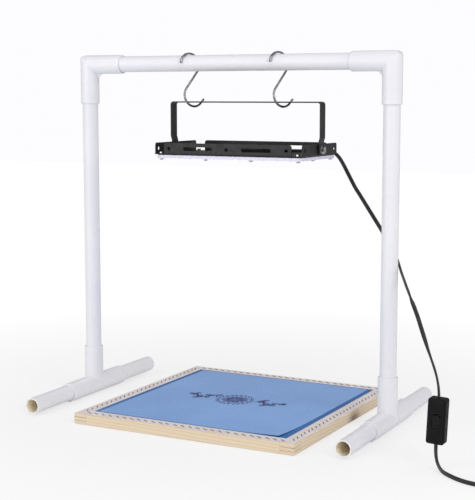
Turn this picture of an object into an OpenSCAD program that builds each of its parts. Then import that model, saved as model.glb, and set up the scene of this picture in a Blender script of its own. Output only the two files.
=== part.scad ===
// Screen printing exposure unit: a pipe stand, a hanging LED lamp and a framed screen under it.
// Millimetres, +Z up. The origin is on the floor, midway between the two uprights.

/* [Stand] */
// Outside diameter of the plastic pipe
pipe_od = 25; // [24:0.5:26]
// Wall thickness of the pipe
pipe_wall = 2; // [1.5:0.1:3]
// Outside diameter of the pipe fittings
fitting_od = 30; // [29:0.5:32]
// Distance between the axes of the two uprights
stand_w = 521; // [500:1:560]
// Height of the crossbar's axis
bar_z = 545; // [540:1:560]
// Length of each foot from the upright's axis to its open end
foot_reach = 175; // [150:1:220]
// Length of an elbow's arm from its corner
elbow_arm = 63; // [56:1:70]
// Length of a tee's branch, from the axis of its run
tee_branch = 65; // [56:1:80]
// Half the length of a tee's run
tee_run = 78; // [60:1:90]
// Depth of a fitting's socket
socket_depth = 28; // [20:1:32]

/* [Hooks and bracket] */
// Diameter of the hook wire
wire_d = 3.4; // [3:0.1:3.8]
// Radius of both hook bowls, at the wire's centre
bowl_r = 17; // [16.9:0.1:17.3]
// Distance between the centres of the two bowls
bowl_gap = 48.7; // [44:0.1:54]
// Turn of the hook's plane away from the line across the bar
hook_turn = 27; // [0:1:27]
// Sideways lean of the hooks
hook_lean = 7.8; // [0:0.1:9]
// Place of the left hook along the crossbar
left_hook_x = -73.9; // [-110:0.1:-50]
// Place of the right hook along the crossbar
right_hook_x = 79.6; // [50:0.1:110]
// Width of the bracket's strap
strap_w = 17; // [15:0.5:18]
// Thickness of the bracket's strap
strap_t = 2; // [1.5:0.1:2.5]
// Half the outside length of the bracket's bar
strap_half = 128.5; // [128:0.1:132]
// Drop from the underside of the bracket's bar to the tilt bolts
bracket_drop = 69.7; // [60:0.1:90]

/* [Lamp] */
// Place of the lamp's middle along the crossbar
lamp_x = 24; // [0:1:30]
// Outside length of the tray
tray_l = 248; // [246:1:248]
// Outside width of the tray
tray_w = 132.6; // [132:0.1:136]
// Outside height of the tray's flanges
tray_h = 17.7; // [16:0.1:22]
// Thickness of the tray's sheet
sheet_t = 1.5; // [1:0.1:2]
// Number of LEDs along the lamp
led_columns = 10; // [4:1:10]
// Number of LEDs across the lamp
led_rows = 5; // [2:1:5]
// Distance between LEDs
led_pitch = 21; // [18:0.5:21]
// Depth of a lens bulge below the lens plate
bulge_h = 1.6; // [1:0.1:2]

/* [Screen] */
// Outside length of the screen frame, along X
frame_l = 370.5; // [350:0.5:380]
// Outside width of the screen frame, along Y
frame_w = 374; // [350:0.5:380]
// Width of a rail
rail_w = 22; // [20:0.5:24]
// Height of a rail
rail_h = 16; // [14:0.5:20]
// Turn of the screen on the floor
screen_turn = -1; // [-1:0.1:1]
// Bare mesh between a rail and the coated field
coat_margin = 1; // [0.5:0.5:20]
// Coated strip left uncovered at each side of the film
film_margin = 8; // [2:0.5:20]
// Number of staples along a rail
staple_count = 27; // [10:1:30]

/* [Switch and cord] */
// Width of the inline switch
switch_w = 25.5; // [22:0.5:26]
// Depth of the inline switch
switch_d = 17; // [15:0.5:17]
// Length of the inline switch
switch_l = 63; // [50:0.5:64]
// Lean of the switch where it hangs
switch_lean = 2.5; // [0:0.5:6]
// Rocker throw from one end to the other
rocker_throw = 14; // [8:1:14]
// Width of the flat cord
cord_w = 6; // [5:0.1:6.2]
// Thickness of the flat cord
cord_t = 3.4; // [3:0.1:4]
// Number of turns in the wound part of the cord
coil_turns = 4.25; // [2.25:1:4.25]

/* [Hidden] */

$fn = 64;
cut = 1;
pvc = [0.93, 0.93, 0.94];
black = [0.06, 0.06, 0.07];
zinc = [0.72, 0.73, 0.75];
pine = [0.85, 0.72, 0.52];

// Stand
side_x = stand_w / 2;
foot_z = fitting_od / 2;
pipe_id = pipe_od - 2 * pipe_wall;
elbow_stop = elbow_arm - socket_depth;
branch_stop = tee_branch - socket_depth;
run_stop = tee_run - socket_depth;

// Hooks: two arcs joined by a straight shank that crosses the line between the bowls
bar_air = 1.2;
upper_z = bar_z + pipe_od / 2 + bar_air + wire_d / 2 - bowl_r;
lower_z = upper_z - bowl_gap * cos(hook_lean);
shank_a = acos(2 * bowl_r / bowl_gap);
upper_tip = 165;
lower_tip = 312;
tip_l = 8;
wire_sides = 12;

// Bracket: the strap's two lower edges ride on the flanks of the lower bowls
strap_seat = 11;
bar_under = lower_z - strap_seat;
bar_top = bar_under + strap_t;
pivot_z = bar_under - bracket_drop;
pivot_hole_d = 6.4;

// Lamp
pivot_rise = 8.8;
tray_z = pivot_z - pivot_rise;
tray_x = tray_l / 2;
tray_y = tray_w / 2;
plate_top = tray_z + sheet_t;
flange_gap = 17;
side_flange_gap = 2;
lens_x = tray_x - 2;
lens_y = tray_y - 1.8;
lens_t = 4.7;
gasket_t = 1;
lens_top = tray_z - gasket_t;
lens_under = lens_top - lens_t;
board = [208, 104, 1.6];
chip = [3.5, 3.5, 1];
pocket = [211, 107, 2.1];
boss = [9, 0.8];
lens_screw_d = 3;
lens_hole_d = 3.4;
lens_screw_at = [for (x = [-115, -38, 38, 115], y = [-60, 60]) [x, y], [-112, 0], [112, 0]];
nut_h = 2.4;
cover_size = [68, 80, 9.8];
gland_y = 28;
gland_z = 412;
gland_l = 26;

// Strap and flange meet at the tilt bolts, with a little air between faces that turn on each other
strap_air = 0.4;
washer_air = 0.15;
washer_t = 1.2;
bolt_head_t = 4;
bolt_d = 5.8;
pivot_nut_t = 5;
strap_in = tray_x + strap_air;
washer_in = strap_in + strap_t + washer_air;

// Screen
screen_x = 12;
half_l = frame_l / 2;
half_w = frame_w / 2;
layer_h = rail_h / 3;
mesh_t = 0.5;
coat_t = 0.25;
film_t = 0.25;
film_air = 0.05;
film_front = 1;
film_z = rail_h + mesh_t + coat_t + film_air;
coat_l = frame_l - 2 * rail_w - 2 * coat_margin;
coat_w = frame_w - 2 * rail_w - 2 * coat_margin;

// Switch: the origin of its own frame is the middle of its top face
switch_top = [385.5, -145.5, 94.5];
switch_split = 0.5;
rocker_hole = [12, 21];
rocker_w = 11.4;
rocker_r = 10.2;
rocker_sink = 2.5;
rocker_at = [0, rocker_sink - switch_d / 2, -switch_l / 2];
pin_d = 2;
pin_l = 1.5;
pin_air = 0.05;
screw_at = [-8.5, 8.5 - switch_l];

// Cord routes, from where the cord leaves one piece to where it meets the next
lead_route = [
    [84, 28, 412], [95, 28, 412], [106, 29.5, 412], [116.5, 34, 412], [124.5, 42, 412.5], [130.5, 51, 413],
    [135.5, 61, 412.5], [141.5, 69.5, 408], [148, 74, 400.5], [154, 75.5, 391], [159.5, 75.5, 381.5],
    [165.5, 74, 372], [171.5, 72, 363], [178, 68.5, 354.5], [188, 63.5, 343.5], [198, 58, 332.5],
    [208, 52.5, 321.5], [218, 47, 310.5], [228, 41.5, 299.5], [238, 36, 288.5], [247.5, 30.5, 277.5],
    [256.5, 25.5, 266], [265, 19.5, 255], [272, 11, 245], [279, 0.5, 237], [286.5, -11, 230],
    [294, -22.5, 223], [301.5, -33.5, 216], [309, -44.5, 209], [316.5, -55.5, 202], [324, -66, 194.5],
    [331.5, -77, 187], [338.5, -87.5, 179], [345.5, -98, 171], [352.5, -108, 162.5], [359.5, -117.5, 153.5],
    [366.8, -126, 143.5], [373.8, -133.5, 133], [379.8, -139.3, 121.5], [383.6, -143.2, 110.5],
    [385.2, -145, 101.5], [385.5, -145.5, 94.5]];
floor_route = [
    [382.8, -145.5, 31.6], [382.6, -145.5, 25], [383.6, -147.5, 17], [386.5, -152.5, 10], [391.5, -160, 5.5],
    [397.5, -169, 3.5], [404.5, -178, 3], [416, -188.5, 3], [428.5, -197.5, 3], [442.5, -204.5, 3],
    [457, -209.5, 3.5], [472, -212.5, 4], [486, -213.5, 4.5], [494, -213.5, 4.6]];
tail_route = [
    [539.5, -168, 11.1], [539.5, -158, 10], [539.5, -147, 7.5], [539.5, -136, 5], [539.5, -125, 4],
    [539.5, -114, 4.5], [539.5, -103, 6], [539.5, -95, 7.5], [539.5, -88, 7.5]];

// Where the cord's broad face looks at chosen points of a route, each as [point, direction]
lead_faces = [[0, [0, 0, 1]], [5, [0, 0, 1]], [8, [-0.2, 0.9, 0.4]], [11, [-0.45, 0.9, 0]],
    [19, [-0.45, 0.9, 0]], [22, [0.9, 0.45, 0]], [27, [0.9, 0.45, 0]], [29, [0.45, -0.9, 0]],
    [33, [0.45, -0.9, 0]], [37, [0.9, 0.3, 0]], [41, [1, 0, 0]]];
floor_faces = [[0, [1, 0, 0]], [4, [0.8, 0.6, 0]], [13, [0, 1, 0]]];
tail_faces = [[0, [-1, 0, 0]], [3, [-0.7, 0, 0.7]], [8, [0, 0, 1]]];

// Wound part of the cord: two layers, in and out again, with the cord on its edge
coil_at = [500, -174];
coil_r = 39.5;
coil_step = 6.6;
coil_z = 4.6;
coil_rise = 6.5;
loop_rings = 24;
straight_end = 6;
turn_in = (coil_turns - 0.5) / 2;
turn_out = turn_in + 0.5;
lead_sides = 8;
coil_sides = 6;
tie_angle = 135;
plug_at = [539.5, -88, 7.5];

// Sweeps

function unit(v) = v / norm(v);

function tangent(path, i) = unit(path[min(i + 1, len(path) - 1)] - path[max(i - 1, 0)]);

// Oval ring of points about a centre, with radius a along w and radius b along s
function ring(centre, w, s, a, b, sides) = [for (j = [0:sides - 1])
    centre + a * cos(360 * j / sides) * w + b * sin(360 * j / sides) * s];

// Skin through a row of rings that have the same number of points
module swept(rings) {
    sides = len(rings[0]);
    last = (len(rings) - 1) * sides;
    polyhedron(
        points = [for (r = rings) each r],
        faces = concat(
            [for (j = [1:sides - 2]) [0, j, j + 1]],
            [for (j = [1:sides - 2]) [last, last + j + 1, last + j]],
            [for (i = [0:len(rings) - 2], j = [0:sides - 1])
                let (a = i * sides + j, b = i * sides + (j + 1) % sides)
                each [[a, a + sides, b + sides], [a, b + sides, b]]]));
}

// Stand pieces

module pipe(length) {
    difference() {
        cylinder(d = pipe_od, h = length);
        translate([0, 0, -cut]) cylinder(d = pipe_id, h = length + 2 * cut);
    }
}

// Outside of a socket, from the fitting's centre to its bevelled rim
module socket_skin(length) {
    bevel = 0.8;
    rotate_extrude()
        polygon([[0, 0], [fitting_od / 2, 0], [fitting_od / 2, length - bevel],
            [fitting_od / 2 - bevel, length], [0, length]]);
}

// What a socket leaves open: the pipe's seat with a lead-in, its stop and the bore behind it
module socket_bore(length) {
    lead_in = 0.7;
    cylinder(d = pipe_id, h = length);
    translate([0, 0, length - socket_depth]) cylinder(d = pipe_od, h = socket_depth + cut);
    translate([0, 0, length - lead_in]) cylinder(d1 = pipe_od, d2 = pipe_od + 4 * lead_in, h = 2 * lead_in);
}

// The half of space on one side of an elbow's mitre
module mitre_side(dir) {
    big = 4 * elbow_arm;
    rotate([0, 45, 0]) translate([0, 0, dir * big / 2]) cube(big, center = true);
}

// What rounding an edge along Y takes away; the edge is at the origin and the solid at +X, -Z
module edge_cutter(radius, length) {
    rotate([90, 0, 0]) translate([0, 0, -length / 2]) linear_extrude(length) difference() {
        translate([-cut, -radius]) square(radius + cut);
        translate([radius, -radius]) circle(radius);
    }
}

// Elbow with its corner at the origin and its arms along +X and -Z
module elbow() {
    edge = fitting_od / 2;
    corner_r = 11;
    web_t = 3;
    web_leg = 7;
    web_root = 1.5;
    difference() {
        union() {
            intersection() {
                translate([-edge, 0, 0]) rotate([0, 90, 0]) socket_skin(elbow_arm + edge);
                mitre_side(1);
            }
            intersection() {
                translate([0, 0, edge]) rotate([180, 0, 0]) socket_skin(elbow_arm + edge);
                mitre_side(-1);
            }
            rotate([90, 0, 0]) translate([0, 0, -web_t / 2]) linear_extrude(web_t)
                polygon([[edge - web_root, web_root - edge], [edge + web_leg, web_root - edge],
                    [edge + web_leg, -edge], [edge, -edge - web_leg], [edge - web_root, -edge - web_leg]]);
        }
        rotate([0, 90, 0]) socket_bore(elbow_arm);
        rotate([180, 0, 0]) socket_bore(elbow_arm);
        sphere(d = pipe_id);
        translate([-edge, 0, edge]) edge_cutter(corner_r, fitting_od + 2 * cut);
    }
}

// Tee with its run along Y through the origin and its branch along +Z
module tee() {
    difference() {
        union() {
            socket_skin(tee_branch);
            for (dir = [-90, 90]) rotate([dir, 0, 0]) socket_skin(tee_run);
        }
        socket_bore(tee_branch);
        for (dir = [-90, 90]) rotate([dir, 0, 0]) socket_bore(tee_run);
    }
}

module crossbar() {
    color(pvc) translate([-side_x + elbow_stop, 0, bar_z]) rotate([0, 90, 0]) pipe(stand_w - 2 * elbow_stop);
}

module upright(dir) {
    color(pvc) translate([dir * side_x, 0, foot_z + branch_stop])
        pipe(bar_z - elbow_stop - foot_z - branch_stop);
}

module corner_elbow(dir) {
    color(pvc) translate([dir * side_x, 0, bar_z]) rotate([0, 0, dir > 0 ? 180 : 0]) elbow();
}

module side_tee(dir) {
    color(pvc) translate([dir * side_x, 0, foot_z]) tee();
}

// Foot pipe from a tee's stop to its open end; end is -1 at the front and 1 at the rear
module foot(dir, end) {
    color(pvc) translate([dir * side_x, end * run_stop, foot_z]) rotate([-end * 90, 0, 0])
        pipe(foot_reach - run_stop);
}

module left_upright() { upright(-1); }
module right_upright() { upright(1); }
module left_elbow() { corner_elbow(-1); }
module right_elbow() { corner_elbow(1); }
module left_tee() { side_tee(-1); }
module right_tee() { side_tee(1); }
module left_front_foot() { foot(-1, -1); }
module left_rear_foot() { foot(-1, 1); }
module right_front_foot() { foot(1, -1); }
module right_rear_foot() { foot(1, 1); }

// Hooks

// Point of a bowl in its own XZ plane, at an angle counted up from +X
function bowl_point(a, drop = 0) = [bowl_r * cos(a), 0, bowl_r * sin(a) - drop];

hook_steps = 22;
shank_end = shank_a - 90;
hook_path = concat(
    [for (k = [0:hook_steps]) bowl_point(upper_tip + (shank_end - upper_tip) * k / hook_steps)],
    [for (k = [0:hook_steps])
        bowl_point(shank_end + 180 + (lower_tip - shank_end - 180) * k / hook_steps, bowl_gap)],
    [bowl_point(lower_tip, bowl_gap) + tip_l * [-sin(lower_tip), 0, cos(lower_tip)]]);

// Ring of wire about a point of the hook, past along the tangent by a share of the radius for a round end
function wire_ring(i, past = 0) =
    let (t = tangent(hook_path, i), w = [0, 1, 0], r = wire_d / 2 * cos(past))
    ring(hook_path[i] + wire_d / 2 * sin(past) * t, w, cross(w, t), r, r, wire_sides);

module s_hook(x) {
    end = [75, 50, 25];
    last = len(hook_path) - 1;
    color(zinc) translate([x, 0, upper_z]) rotate([0, -hook_lean, 0]) rotate([0, 0, 90 - hook_turn])
        swept(concat([for (past = end) wire_ring(0, -past)], [for (i = [0:last]) wire_ring(i)],
            [for (k = [2:-1:0]) wire_ring(last, end[k])]));
}

module left_s_hook() { s_hook(left_hook_x); }
module right_s_hook() { s_hook(right_hook_x); }

// Bracket

// Half of the strap seen from the front: bar, bent corner, leg, joggle and foot
module strap_half_profile() {
    bend_r = 5;
    joggle_low = tray_z + tray_h + 2;
    joggle_high = joggle_low + 7;
    corner = [strap_half - bend_r, bar_top - bend_r];
    translate([-cut, bar_under]) square([corner[0] + cut, strap_t]);
    intersection() {
        translate(corner) difference() {
            circle(bend_r);
            circle(bend_r - strap_t);
        }
        translate(corner) square(bend_r);
    }
    translate([strap_half - strap_t, joggle_high]) square([strap_t, corner[1] - joggle_high]);
    polygon([[strap_half, joggle_high], [strap_half - strap_t, joggle_high],
        [strap_in, joggle_low], [strap_in + strap_t, joggle_low]]);
    translate([strap_in, pivot_z - strap_w]) square([strap_t, joggle_low - pivot_z + strap_w]);
}

module bracket() {
    small_hole = [30, 6.2];
    centre_hole_d = 8.4;
    color(black) translate([lamp_x, 0, 0]) difference() {
        intersection() {
            rotate([90, 0, 0]) linear_extrude(strap_w, center = true)
                for (side = [0, 1]) mirror([side, 0]) strap_half_profile();
            rotate([90, 0, 90]) linear_extrude(2 * strap_half + 2 * cut, center = true) {
                translate([-strap_w / 2, pivot_z]) square([strap_w, bar_top - pivot_z + cut]);
                translate([0, pivot_z]) circle(d = strap_w);
            }
        }
        translate([0, 0, bar_under - cut]) cylinder(d = centre_hole_d, h = strap_t + 2 * cut);
        for (x = [-small_hole[0], small_hole[0]])
            translate([x, 0, bar_under - cut]) cylinder(d = small_hole[1], h = strap_t + 2 * cut);
        for (side = [0, 1]) mirror([side, 0, 0])
            translate([strap_in - cut, 0, pivot_z]) rotate([0, 90, 0])
                cylinder(d = pivot_hole_d, h = strap_t + 2 * cut);
    }
}

// Lamp

module on_lamp() {
    translate([lamp_x, 0, tray_z]) children();
}

module rounded_rect(size, radius) {
    square([size[0], size[1] - 2 * radius], center = true);
    square([size[0] - 2 * radius, size[1]], center = true);
    for (x = [-1, 1], y = [-1, 1])
        translate([x * (size[0] / 2 - radius), y * (size[1] / 2 - radius)]) circle(radius);
}

// Upright flange with rounded top corners, seen square on
module flange_outline(half) {
    corner_r = 4;
    translate([-half, 0]) square([2 * half, tray_h - corner_r]);
    translate([corner_r - half, 0]) square([2 * (half - corner_r), tray_h]);
    for (x = [-1, 1]) translate([x * (half - corner_r), tray_h - corner_r]) circle(corner_r);
}

// Holes of a long flange: three round ones and two slots
module flange_holes() {
    hole_d = 6;
    rise = 8.9;
    slot_l = 49;
    slot_x = 49;
    for (x = [-98.5, 0, 98.5]) translate([x, rise]) circle(d = hole_d);
    for (x = [-slot_x, slot_x]) translate([x, rise]) {
        square([slot_l - hole_d, hole_d], center = true);
        for (end = [-1, 1]) translate([end * (slot_l - hole_d) / 2, 0]) circle(d = hole_d);
    }
}

module side_flange_holes() {
    hole_d = 6;
    for (y = [-55, 55]) translate([y, pivot_rise]) circle(d = hole_d);
    translate([0, pivot_rise]) circle(d = pivot_hole_d);
}

module lamp_tray() {
    bend_r = 2;
    wire_hole_d = 10;
    color(black) on_lamp() difference() {
        union() {
            translate([-tray_x, -tray_y, 0]) cube([tray_l, tray_w, sheet_t]);
            for (side = [0, 1]) {
                mirror([0, side, 0]) translate([0, sheet_t - tray_y, 0]) rotate([90, 0, 0])
                    linear_extrude(sheet_t) difference() {
                        flange_outline(tray_x - flange_gap);
                        flange_holes();
                    }
                mirror([side, 0, 0]) translate([tray_x - sheet_t, 0, 0]) rotate([90, 0, 90])
                    linear_extrude(sheet_t) difference() {
                        flange_outline(tray_y - side_flange_gap);
                        side_flange_holes();
                    }
            }
        }
        for (at = lens_screw_at)
            translate([at[0], at[1], -cut]) cylinder(d = lens_hole_d, h = sheet_t + 2 * cut);
        translate([0, 0, -cut]) cylinder(d = wire_hole_d, h = sheet_t + 2 * cut);
        for (side = [0, 1]) {
            mirror([side, 0, 0]) translate([-tray_x, 0, 0]) mirror([0, 0, 1])
                edge_cutter(bend_r, tray_w + 2 * cut);
            mirror([0, side, 0]) translate([0, -tray_y, 0]) rotate([0, 0, 90]) mirror([0, 0, 1])
                edge_cutter(bend_r, tray_l + 2 * cut);
        }
    }
}

// Side view of a cover with bevelled upper edges, standing on the X axis
module bevelled_profile(width, height, bevel) {
    polygon([[-width / 2, 0], [width / 2, 0], [width / 2, height - bevel], [width / 2 - bevel, height],
        [bevel - width / 2, height], [-width / 2, height - bevel]]);
}

module driver_cover() {
    bevel = 2.5;
    color(black) translate([lamp_x, 0, plate_top]) intersection() {
        rotate([90, 0, 0]) linear_extrude(cover_size[1], center = true)
            bevelled_profile(cover_size[0], cover_size[2], bevel);
        rotate([90, 0, 90]) linear_extrude(cover_size[0], center = true)
            bevelled_profile(cover_size[1], cover_size[2], bevel);
        linear_extrude(cover_size[2]) rounded_rect([cover_size[0], cover_size[1]], 3);
    }
}

// Tapered bend relief with ribs, along +Z from its flange to its tip
module bend_relief(length, root_r, tip_r) {
    flange_t = 2;
    ribs = 5;
    groove = 0.5;
    pitch = (length - flange_t) / (2 * ribs);
    function skin(z) = root_r + (tip_r - root_r) * z / length;
    rotate_extrude() polygon(concat(
        [[0, 0], [root_r + groove, 0], [root_r + groove, flange_t]],
        [for (k = [0:2 * ribs - 1], end = [0, 1]) let (z = flange_t + (k + end) * pitch)
            [skin(z) - (k % 2 == 0 ? groove : 0), z]],
        [[0, length]]));
}

module cable_gland() {
    color(black) translate([lamp_x + cover_size[0] / 2, gland_y, gland_z]) rotate([0, 90, 0])
        bend_relief(gland_l, 4.1, 3.7);
}

module led_board() {
    color([0.9, 0.9, 0.92]) on_lamp() translate([-board[0] / 2, -board[1] / 2, -board[2]]) cube(board);
}

// Places its child at each LED, on the underside of the board
module at_leds() {
    for (i = [0:led_columns - 1], j = [0:led_rows - 1])
        translate([(i - (led_columns - 1) / 2) * led_pitch, (j - (led_rows - 1) / 2) * led_pitch, 0])
            children();
}

module led_chips() {
    color([0.75, 0.6, 0.95]) on_lamp() translate([0, 0, -board[2] - chip[2]])
        at_leds() translate([-chip[0] / 2, -chip[1] / 2, 0]) cube(chip);
}

module lens_gasket() {
    rim = [2 * lens_x - 2, 2 * lens_y - 1.4];
    window = [212, 108];
    color(black) on_lamp() translate([0, 0, -gasket_t]) linear_extrude(gasket_t) difference() {
        rounded_rect(rim, 5);
        square(window, center = true);
        for (at = lens_screw_at) translate(at) circle(d = lens_hole_d);
    }
}

// Shallow spherical bulge under the lens plate, whose underside is at z = 0
module lens_bulge() {
    foot_r = 8;
    ball_r = (foot_r * foot_r + bulge_h * bulge_h) / (2 * bulge_h);
    intersection() {
        translate([0, 0, ball_r - bulge_h]) sphere(ball_r, $fn = 96);
        translate([0, 0, -bulge_h - cut]) cylinder(r = foot_r, h = bulge_h + cut + 0.5);
    }
}

module lens_plate() {
    color([0.85, 0.87, 0.95, 0.6]) translate([lamp_x, 0, lens_under]) difference() {
        union() {
            linear_extrude(lens_t) rounded_rect([2 * lens_x, 2 * lens_y], 6);
            at_leds() lens_bulge();
            for (at = lens_screw_at)
                translate([at[0], at[1], -boss[1]]) cylinder(d = boss[0], h = boss[1] + cut);
        }
        translate([-pocket[0] / 2, -pocket[1] / 2, lens_t - pocket[2]]) cube(pocket + [0, 0, cut]);
        for (at = lens_screw_at) translate([at[0], at[1], -boss[1] - cut])
            cylinder(d = lens_hole_d, h = lens_t + boss[1] + 2 * cut);
    }
}

module lens_screws() {
    head = [3, 1.8];
    shank_l = plate_top + nut_h - lens_under + boss[1];
    color(zinc) translate([lamp_x, 0, lens_under - boss[1]]) for (at = lens_screw_at)
        translate([at[0], at[1], 0]) rotate_extrude()
            polygon([[0, -head[1]], [head[0] - 0.8, -head[1]], [head[0], -head[1] / 2], [head[0], 0],
                [lens_screw_d / 2, 0], [lens_screw_d / 2, shank_l], [0, shank_l]]);
}

module hex_nut(across, height, bore) {
    difference() {
        cylinder(d = across / cos(30), h = height, $fn = 6);
        translate([0, 0, -cut]) cylinder(d = bore, h = height + 2 * cut);
    }
}

module lens_nuts() {
    color(zinc) translate([lamp_x, 0, plate_top]) for (at = lens_screw_at)
        translate([at[0], at[1], 0]) hex_nut(5.5, nut_h, lens_screw_d);
}

// Places its child on the axis of each tilt bolt, with +Z pointing out of the lamp
module at_pivots(out) {
    for (side = [0, 1]) translate([lamp_x, 0, pivot_z]) mirror([side, 0, 0])
        translate([out, 0, 0]) rotate([0, 90, 0]) children();
}

module pivot_bolts() {
    across = 10;
    end = 1;
    color(zinc) at_pivots(washer_in + washer_t) {
        cylinder(d = across / cos(30), h = bolt_head_t, $fn = 6);
        shank_l = washer_in + washer_t - tray_x + sheet_t + pivot_nut_t + end;
        translate([0, 0, -shank_l]) cylinder(d = bolt_d, h = shank_l);
    }
}

module pivot_washers() {
    outer_d = 12.5;
    color(zinc) at_pivots(washer_in) difference() {
        cylinder(d = outer_d, h = washer_t);
        translate([0, 0, -cut]) cylinder(d = pivot_hole_d, h = washer_t + 2 * cut);
    }
}

module pivot_nuts() {
    color(zinc) at_pivots(tray_x - sheet_t - pivot_nut_t) hex_nut(10, pivot_nut_t, bolt_d);
}

// Screen

module on_screen() {
    translate([screen_x, 0, 0]) rotate([0, 0, screen_turn]) children();
}

// Outside of the finished frame, its edges eased by sanding
module frame_block() {
    ease = 0.8;
    corner_r = 2.5;
    intersection() {
        linear_extrude(rail_h) rounded_rect([frame_l, frame_w], corner_r);
        rotate([90, 0, 0]) linear_extrude(frame_w + cut, center = true) eased_profile(frame_l, ease);
        rotate([90, 0, 90]) linear_extrude(frame_l + cut, center = true) eased_profile(frame_w, ease);
    }
}

module eased_profile(width, ease) {
    side = width / 2;
    polygon([[ease - side, 0], [side - ease, 0], [side, ease], [side, rail_h - ease], [side - ease, rail_h],
        [ease - side, rail_h], [-side, rail_h - ease], [-side, ease]]);
}

// Rail along X, with a notch at each end for the fingers of the side rails
module cross_rail(dir) {
    color(pine) on_screen() intersection() {
        frame_block();
        difference() {
            translate([-half_l - cut, dir > 0 ? half_w - rail_w : -half_w - cut, 0])
                cube([frame_l + 2 * cut, rail_w + cut, rail_h]);
            for (side = [0, 1]) mirror([side, 0, 0])
                translate([half_l - rail_w, -half_w - 2 * cut, layer_h])
                    cube([rail_w + 2 * cut, frame_w + 4 * cut, layer_h]);
        }
    }
}

// Rail along Y, with a finger at each end in the middle of the three layers
module side_rail(dir) {
    x = dir > 0 ? half_l - rail_w : -half_l - cut;
    color(pine) on_screen() intersection() {
        frame_block();
        union() {
            translate([x, rail_w - half_w, 0]) cube([rail_w + cut, frame_w - 2 * rail_w, rail_h]);
            translate([x, -half_w - cut, layer_h]) cube([rail_w + cut, frame_w + 2 * cut, layer_h]);
        }
    }
}

module front_rail() { cross_rail(-1); }
module rear_rail() { cross_rail(1); }
module left_rail() { side_rail(-1); }
module right_rail() { side_rail(1); }

module screen_mesh() {
    edge = 1;
    color([0.9, 0.85, 0.85]) on_screen() translate([0, 0, rail_h]) linear_extrude(mesh_t)
        rounded_rect([frame_l - 2 * edge, frame_w - 2 * edge], 3);
}

// Slanted staple crowns in a row along the middle of each rail
module mesh_staples() {
    crown = [9, 0.8, 0.5];
    slant = -32;
    color(zinc) on_screen() translate([0, 0, rail_h + mesh_t]) for (side = [0:3]) {
        along = side % 2 == 0 ? frame_l : frame_w;
        across = side % 2 == 0 ? frame_w : frame_l;
        pitch = (along - 2 * rail_w) / (staple_count - 1);
        rotate([0, 0, 90 * side]) for (k = [0:staple_count - 1])
            translate([rail_w - along / 2 + k * pitch, rail_w / 2 - across / 2, 0])
                rotate([0, 0, slant]) translate([-crown[0] / 2, -crown[1] / 2, 0]) cube(crown);
    }
}

module emulsion() {
    color([0.1, 0.25, 0.45]) on_screen() translate([-coat_l / 2, -coat_w / 2, rail_h + mesh_t])
        cube([coat_l, coat_w, coat_t]);
}

module film() {
    color([0.45, 0.65, 0.85]) on_screen()
        translate([film_margin - coat_l / 2, film_front - coat_w / 2, film_z])
            cube([coat_l - 2 * film_margin, coat_w - film_front - film_margin / 2, film_t]);
}

// Inline switch

module on_switch() {
    translate(switch_top) rotate([0, switch_lean, 0]) children();
}

// Plan of a shell from side to side, with its outer corners bevelled; out is the shell's depth
module shell_plan(width, out, bevel) {
    polygon([[-width / 2, 0], [width / 2, 0], [width / 2, out - bevel[1]], [width / 2 - bevel[0], out],
        [bevel[0] - width / 2, out], [-width / 2, out - bevel[1]]]);
}

// Half shell of the switch: its flat side at y = 0, bulging towards +Y
module switch_shell(out, side_bevel, end_bevel) {
    translate([0, 0, -switch_l / 2]) intersection() {
        rotate([-90, 0, 0]) linear_extrude(out) rounded_rect([switch_w, switch_l], 4);
        linear_extrude(switch_l + cut, center = true) shell_plan(switch_w, out, side_bevel);
        rotate([90, 0, 0]) rotate([0, 90, 0]) linear_extrude(switch_w + cut, center = true)
            mirror([1, 0]) rotate(90) shell_plan(switch_l, out, end_bevel);
    }
}

module switch_base() {
    head = [5.2, 2];
    out = switch_d / 2 - switch_split;
    color(black) on_switch() difference() {
        translate([0, switch_split, 0]) switch_shell(out, [1.5, 1.5], [1.5, 1.5]);
        for (z = screw_at) translate([0, 0, z]) rotate([-90, 0, 0]) {
            cylinder(d = 2.4, h = switch_d);
            translate([0, 0, switch_d / 2 - head[1]]) cylinder(d = head[0], h = head[1] + cut);
        }
    }
}

// Opening of the rocker, an oblong with its corners cut
module rocker_outline(width, length) {
    corner = 3;
    side = width / 2;
    top = length / 2;
    polygon([[corner - side, -top], [side - corner, -top], [side, corner - top], [side, top - corner],
        [side - corner, top], [corner - side, top], [-side, top - corner], [-side, corner - top]]);
}

module switch_cover() {
    out = switch_d / 2 + switch_split;
    pin_hole_l = rocker_hole[0] + 2 * pin_l + 0.2;
    color(black) on_switch() difference() {
        translate([0, switch_split, 0]) mirror([0, 1, 0]) switch_shell(out, [3, 2.5], [6, 2.5]);
        translate([0, switch_split + cut, rocker_at[2]]) rotate([90, 0, 0]) linear_extrude(out + 2 * cut)
            rocker_outline(rocker_hole[0], rocker_hole[1]);
        translate(rocker_at) rotate([0, 90, 0])
            cylinder(d = pin_d + 2 * pin_air, h = pin_hole_l, center = true);
        for (z = screw_at) translate([0, -3.5, z]) rotate([-90, 0, 0]) cylinder(d = 2.4, h = switch_d);
    }
}

// Rocker about its own pivot: two faces that meet in a shallow valley, and ends round the pivot
module rocker_body() {
    valley = 1.7;
    back = 3;
    rise = rocker_r * tan(rocker_throw / 2);
    intersection() {
        rotate([0, 90, 0]) linear_extrude(rocker_w, center = true) intersection() {
            circle(rocker_r);
            polygon([[0, -valley], [rocker_r, -valley - rise], [rocker_r, back], [-rocker_r, back],
                [-rocker_r, -valley - rise]]);
        }
        rotate([90, 0, 0]) linear_extrude(2 * rocker_r, center = true) rocker_outline(rocker_w, 2 * rocker_r);
    }
}

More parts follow.
